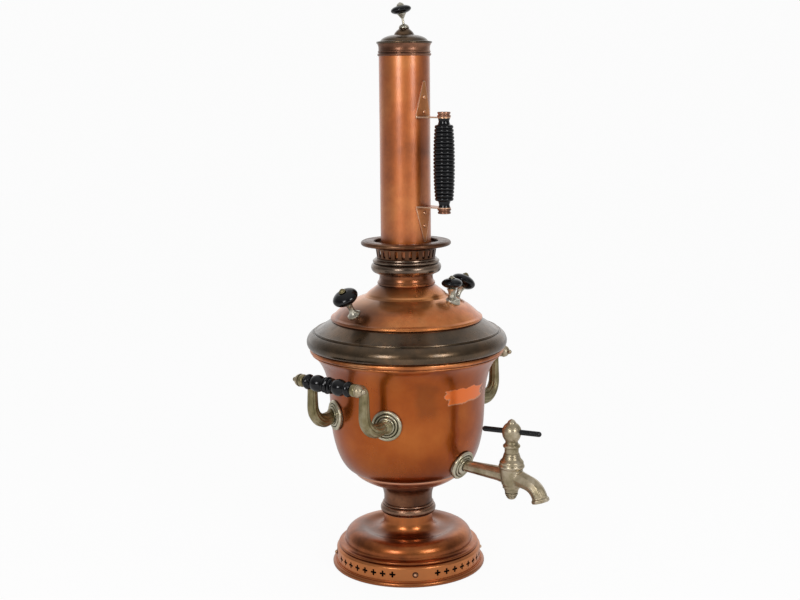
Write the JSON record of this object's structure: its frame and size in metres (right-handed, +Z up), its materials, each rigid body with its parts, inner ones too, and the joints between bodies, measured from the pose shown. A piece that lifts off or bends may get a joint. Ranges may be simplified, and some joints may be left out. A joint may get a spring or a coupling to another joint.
{
  "type": "samovar",
  "caption": "Charcoal samovar: vase-shaped water bowl on a pierced foot, lift-off lid and crown, capped draught pipe, bar handles and a plug tap.",
  "frame": {"origin": "centre of the circle that the foot's rolled rim rests on", "axes": "+Z up along the axis of the bowl; -Y towards the tap; the two handles lie on +X and -X"},
  "size_m": [0.3512, 0.3869, 0.8012],
  "materials": {
    "copper": "satin spun copper",
    "dark_bronze": "dark patinated bronze",
    "nickel_brass": "worn nickel on brass",
    "black_wood": "gloss black turned wood",
    "iron": "dull"
  },
  "bodies": {
    "body": {"foot": "copper", "foot_plate": "iron", "foot_rivets": "copper", "stem_ring": "dark_bronze", "stem_collar": "copper", "bowl": "copper", "rim_band": "copper", "shoulder_ring": "dark_bronze", "fire_cone": "copper", "fire_tube": "copper", "fire_grate": "iron", "rosette_left_front": "nickel_brass", "rosette_left_rear": "nickel_brass", "rosette_right_front": "nickel_brass", "rosette_right_rear": "nickel_brass", "arm_left_front": "nickel_brass", "arm_left_rear": "nickel_brass", "arm_right_front": "nickel_brass", "arm_right_rear": "nickel_brass", "bar_left": "black_wood", "bar_right": "black_wood", "bar_bolt_left": "nickel_brass", "bar_bolt_right": "nickel_brass", "bar_nut_left": "nickel_brass", "bar_nut_right": "nickel_brass", "arm_nuts": "nickel_brass", "tap_rosette": "nickel_brass", "tap_body": "nickel_brass", "tap_nut": "nickel_brass"},
    "tap_key": {"tap_plug": "nickel_brass", "tap_key_bar": "black_wood", "tap_finial": "nickel_brass", "tap_washer": "nickel_brass", "tap_end_nut": "nickel_brass"},
    "lid": {"lid": "copper", "neck_ring": "dark_bronze", "knob_stem_left": "nickel_brass", "knob_stem_right": "nickel_brass", "knob_left": "black_wood", "knob_right": "black_wood", "knob_button_left": "nickel_brass", "knob_button_right": "nickel_brass", "vent_seat": "nickel_brass"},
    "vent_cap": {"vent_disc": "black_wood", "vent_pin": "nickel_brass"},
    "crown": {"crown": "copper"},
    "chimney": {"pipe": "copper", "bracket_upper": "copper", "bracket_lower": "copper", "bracket_rivets": "copper", "grip": "black_wood", "grip_rod": "iron", "ferrule_upper": "copper", "ferrule_lower": "copper"},
    "chimney_cap": {"cap_skirt": "copper", "cap_dome": "dark_bronze", "cap_spindle": "nickel_brass", "cap_knob": "black_wood", "cap_nut": "nickel_brass"}
  },
  "joints": [
    {"name": "key_turn", "type": "hinge", "parent": "body", "child": "tap_key", "pos_m": [0, -0.184, 0.163], "axis": [0, 0, 1], "range_deg": [-15, 75]},
    {"name": "lid_lift", "type": "slide", "parent": "body", "child": "lid", "axis": [0, 0, 1], "range_m": [0, 0.12]},
    {"name": "vent_lift", "type": "slide", "parent": "lid", "child": "vent_cap", "axis": [0, 0, 1], "range_m": [0, 0.012]},
    {"name": "crown_lift", "type": "slide", "parent": "lid", "child": "crown", "axis": [0, 0, 1], "range_m": [0, 0.06]},
    {"name": "pipe_lift", "type": "slide", "parent": "crown", "child": "chimney", "axis": [0, 0, 1], "range_m": [0, 0.08]},
    {"name": "pipe_cap_lift", "type": "slide", "parent": "chimney", "child": "chimney_cap", "axis": [0, 0, 1], "range_m": [0, 0.04]}
  ]
}
